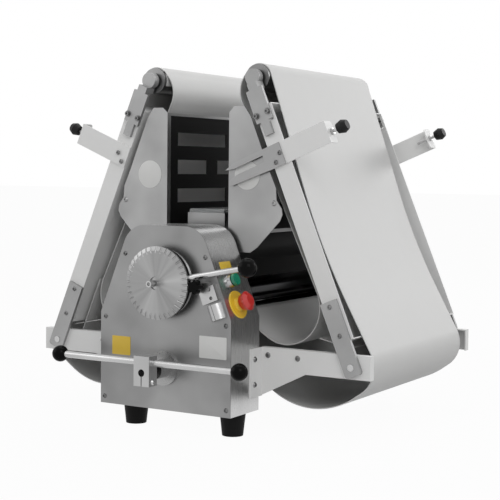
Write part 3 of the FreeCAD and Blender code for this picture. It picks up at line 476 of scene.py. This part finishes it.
def make_belts():
    strips = belt_strips()
    for word, side in (("right", 1), ("left", -1)):
        for part, points, body, flat in strips:
            piece = band("belt_" + word + "_" + part, points, side)
            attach(piece, "table_" + word if body == "table" else body)
            if flat is not None:
                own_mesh(piece)
        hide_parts("belt_" + word)


make_belts()


# ---------------------------------------------------------------- blank plates
PLATE_THICKNESS = 0.8 * MM
PLATE_EDGE = 0.25 * MM
GUARD_FACE_STEP = 3 * MM  # from the black wall's near edge to the guard's outer face


def plate_mesh(name, outline, thickness, bevel, material):
    """A thin plate with eased edges: its outline lies in the plane of its own X and Y."""
    mesh = bpy.data.meshes.new(name)
    form = bmesh.new()
    low = [form.verts.new((x, y, 0)) for x, y in outline]
    face = form.faces.new(low)
    grown = bmesh.ops.extrude_face_region(form, geom=[face])
    raised = [v for v in grown["geom"] if isinstance(v, bmesh.types.BMVert)]
    bmesh.ops.translate(form, verts=raised, vec=(0, 0, thickness))
    bmesh.ops.recalc_face_normals(form, faces=form.faces)
    rim = [e for e in form.edges if all(abs(v.co.z - thickness) < 1e-7 for v in e.verts)]
    bmesh.ops.bevel(form, geom=rim, offset=bevel, segments=2, affect="EDGES", profile=0.5)
    form.to_mesh(mesh)
    form.free()
    mesh.materials.append(material)
    piece = bpy.data.objects.new(name, mesh)
    bpy.context.scene.collection.objects.link(piece)
    smooth_by_angle(piece, 30)
    return piece


def round_outline(radius, steps=64):
    turns = [2 * math.pi * i / steps for i in range(steps)]
    return [(radius * math.cos(turn), radius * math.sin(turn)) for turn in turns]


def card_outline(width, height, corner=2 * MM, steps=6):
    points = []
    for cx, cy, start in ((1, 1, 0), (-1, 1, 90), (-1, -1, 180), (1, -1, 270)):
        for i in range(steps + 1):
            angle = math.radians(start + 90 * i / steps)
            points.append((cx * (width / 2 - corner) + corner * math.cos(angle),
                           cy * (height / 2 - corner) + corner * math.sin(angle)))
    return points


def put_plate(name, outline, place, outward, body, material):
    """Fix a plate flat on a surface, with its own Y axis up that surface."""
    piece = plate_mesh(name, outline, PLATE_THICKNESS, PLATE_EDGE, material)
    normal = Vector(outward).normalized()
    up = (Vector((0, 0, 1)) - normal * normal.z).normalized()
    turn = Matrix((up.cross(normal), up, normal)).transposed().to_4x4()
    turn.translation = Vector(place)
    piece.data.transform(turn)
    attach(piece, body)


def slope_frame():
    """The start button's foot on the slanted side, and the directions out of and up that side."""
    outward = -Vector(JOINTS["start_button_press"]["axis"])
    low, high = (Vector(corner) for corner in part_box("start_bezel"))
    centre = (low + high) / 2
    level = min(outward.dot(v.co) for v in frame["nodes"]["start_bezel"].data.vertices)
    foot = centre + outward * (level - outward.dot(centre))
    return foot, outward, Vector((-outward.z, 0, outward.x))


def make_plates():
    forward = (0, -1, 0)
    cover_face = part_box("front_cover")[0][1]
    guard_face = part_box("guard_right_wall")[0][1] - GUARD_FACE_STEP
    plate_height = HINGE_Z + 404 * MM
    for word, side in (("right", 1), ("left", -1)):
        put_plate("guard_plate_" + word, round_outline(32 * MM),
                  (side * 131 * MM, guard_face, plate_height), forward,
                  "guard_" + word, PLATE_WHITE)
    put_plate("cover_plate_large", card_outline(69 * MM, 48 * MM),
              (127 * MM, cover_face, HINGE_Z + 35 * MM), forward, "base", PLATE_WHITE)
    foot, outward, up_slope = slope_frame()
    put_plate("side_plate_small", card_outline(44 * MM, 22 * MM), foot + up_slope * 35 * MM,
              outward, "base", PLATE_YELLOW)
    put_plate("cover_plate_small", card_outline(50 * MM, 42 * MM),
              (-115 * MM, cover_face, HINGE_Z + 21 * MM), forward, "base", PLATE_YELLOW)


# ---------------------------------------------------------------- floor, light, camera
FLOOR_REACH = 30.0
FLOOR_TONE = 0.5
FLOOR_GLOW = 0.96  # the share of the floor's look that is plain white; the rest keeps the shadow
WORLD_LIGHT = 0.6
LIGHT_CENTRE = (0, 0, 0.4)
LAMPS = (  # name, place, size, power
    ("key", (2.6, -2.4, 2.6), (2.0, 2.0), 34),
    ("fill", (-2.8, -2.0, 1.8), (2.4, 2.0), 17),
    ("top", (0.0, 0.4, 3.2), (2.4, 2.4), 24),
    ("back", (1.9, 3.4, 1.9), (2.4, 1.4), 34),
)
CAMERA_PLACE = (1.5537, MIDDLE_Y - 2.6844, 0.5812)
CAMERA_YAW, CAMERA_PITCH, CAMERA_ROLL = 31.04, 3.18, 0.57  # degrees
CAMERA_LENS = 90.74
CAMERA_SHIFT = (0.0238, -0.0187)


def seen_white(nodes, links):
    """1 for rays from the camera, from glossy surfaces and through clear ones, else 0."""
    path = nodes.new("ShaderNodeLightPath")
    value = path.outputs["Is Camera Ray"]
    for word in ("Is Glossy Ray", "Is Transmission Ray"):
        pick = nodes.new("ShaderNodeMath")
        pick.operation = "MAXIMUM"
        links.new(value, pick.inputs[0])
        links.new(path.outputs[word], pick.inputs[1])
        value = pick.outputs["Value"]
    return value


def make_stage():
    floor_mesh = bpy.data.meshes.new("floor")
    corners = ((-1, -1), (1, -1), (1, 1), (-1, 1))
    floor_mesh.from_pydata([(x * FLOOR_REACH, y * FLOOR_REACH, 0) for x, y in corners], [], [(0, 1, 2, 3)])
    floor = bpy.data.objects.new("floor", floor_mesh)
    bpy.context.scene.collection.objects.link(floor)
    material, nodes, links, shader = new_material("floor_white")
    shader.inputs["Base Color"].default_value = (*grey(FLOOR_TONE), 1)
    shader.inputs["Roughness"].default_value = 0.9
    glow = nodes.new("ShaderNodeEmission")
    glow.inputs["Color"].default_value = (1, 1, 1, 1)
    mix = nodes.new("ShaderNodeMixShader")
    share = nodes.new("ShaderNodeMath")
    share.operation = "MULTIPLY"
    share.inputs[1].default_value = FLOOR_GLOW
    links.new(seen_white(nodes, links), share.inputs[0])
    links.new(share.outputs["Value"], mix.inputs["Fac"])
    links.new(shader.outputs["BSDF"], mix.inputs[1])
    links.new(glow.outputs["Emission"], mix.inputs[2])
    links.new(mix.outputs["Shader"], nodes["Material Output"].inputs["Surface"])
    floor_mesh.materials.append(material)


def make_world():
    world = bpy.data.worlds.new("studio")
    bpy.context.scene.world = world
    world.use_nodes = True
    nodes, links = world.node_tree.nodes, world.node_tree.links
    soft = nodes["Background"]
    soft.inputs["Color"].default_value = (1, 1, 1, 1)
    soft.inputs["Strength"].default_value = WORLD_LIGHT
    white = nodes.new("ShaderNodeBackground")
    white.inputs["Color"].default_value = (1, 1, 1, 1)
    white.inputs["Strength"].default_value = 1.0
    mix = nodes.new("ShaderNodeMixShader")
    links.new(seen_white(nodes, links), mix.inputs["Fac"])
    links.new(soft.outputs["Background"], mix.inputs[1])
    links.new(white.outputs["Background"], mix.inputs[2])
    links.new(mix.outputs["Shader"], nodes["World Output"].inputs["Surface"])


def area_light(name, place, size, power):
    data = bpy.data.lights.new(name, "AREA")
    data.shape = "RECTANGLE"
    data.size, data.size_y = size
    data.energy = power
    lamp = bpy.data.objects.new(name, data)
    bpy.context.scene.collection.objects.link(lamp)
    lamp.location = place
    lamp.rotation_euler = (Vector(LIGHT_CENTRE) - Vector(place)).to_track_quat("-Z", "Y").to_euler()


def make_lights():
    for name, place, size, power in LAMPS:
        area_light(name, place, size, power)


def make_camera():
    data = bpy.data.cameras.new("camera")
    data.sensor_width = 36.0
    data.lens = CAMERA_LENS
    data.shift_x, data.shift_y = CAMERA_SHIFT
    camera = bpy.data.objects.new("camera", data)
    bpy.context.scene.collection.objects.link(camera)
    yaw, pitch, roll = (math.radians(angle) for angle in (CAMERA_YAW, CAMERA_PITCH, CAMERA_ROLL))
    level = math.cos(pitch)
    forward = Vector((-math.sin(yaw) * level, math.cos(yaw) * level, -math.sin(pitch)))
    right = Vector((math.cos(yaw), math.sin(yaw), 0))
    up = right.cross(forward)
    rolled_right = right * math.cos(roll) + up * math.sin(roll)
    rolled_up = up * math.cos(roll) - right * math.sin(roll)
    turn = Matrix((rolled_right, rolled_up, -forward)).transposed().to_4x4()
    turn.translation = Vector(CAMERA_PLACE)
    camera.matrix_world = turn
    bpy.context.scene.camera = camera


make_plates()
make_stage()
make_world()
make_lights()
make_camera()
bpy.context.scene.view_settings.view_transform = "Standard"
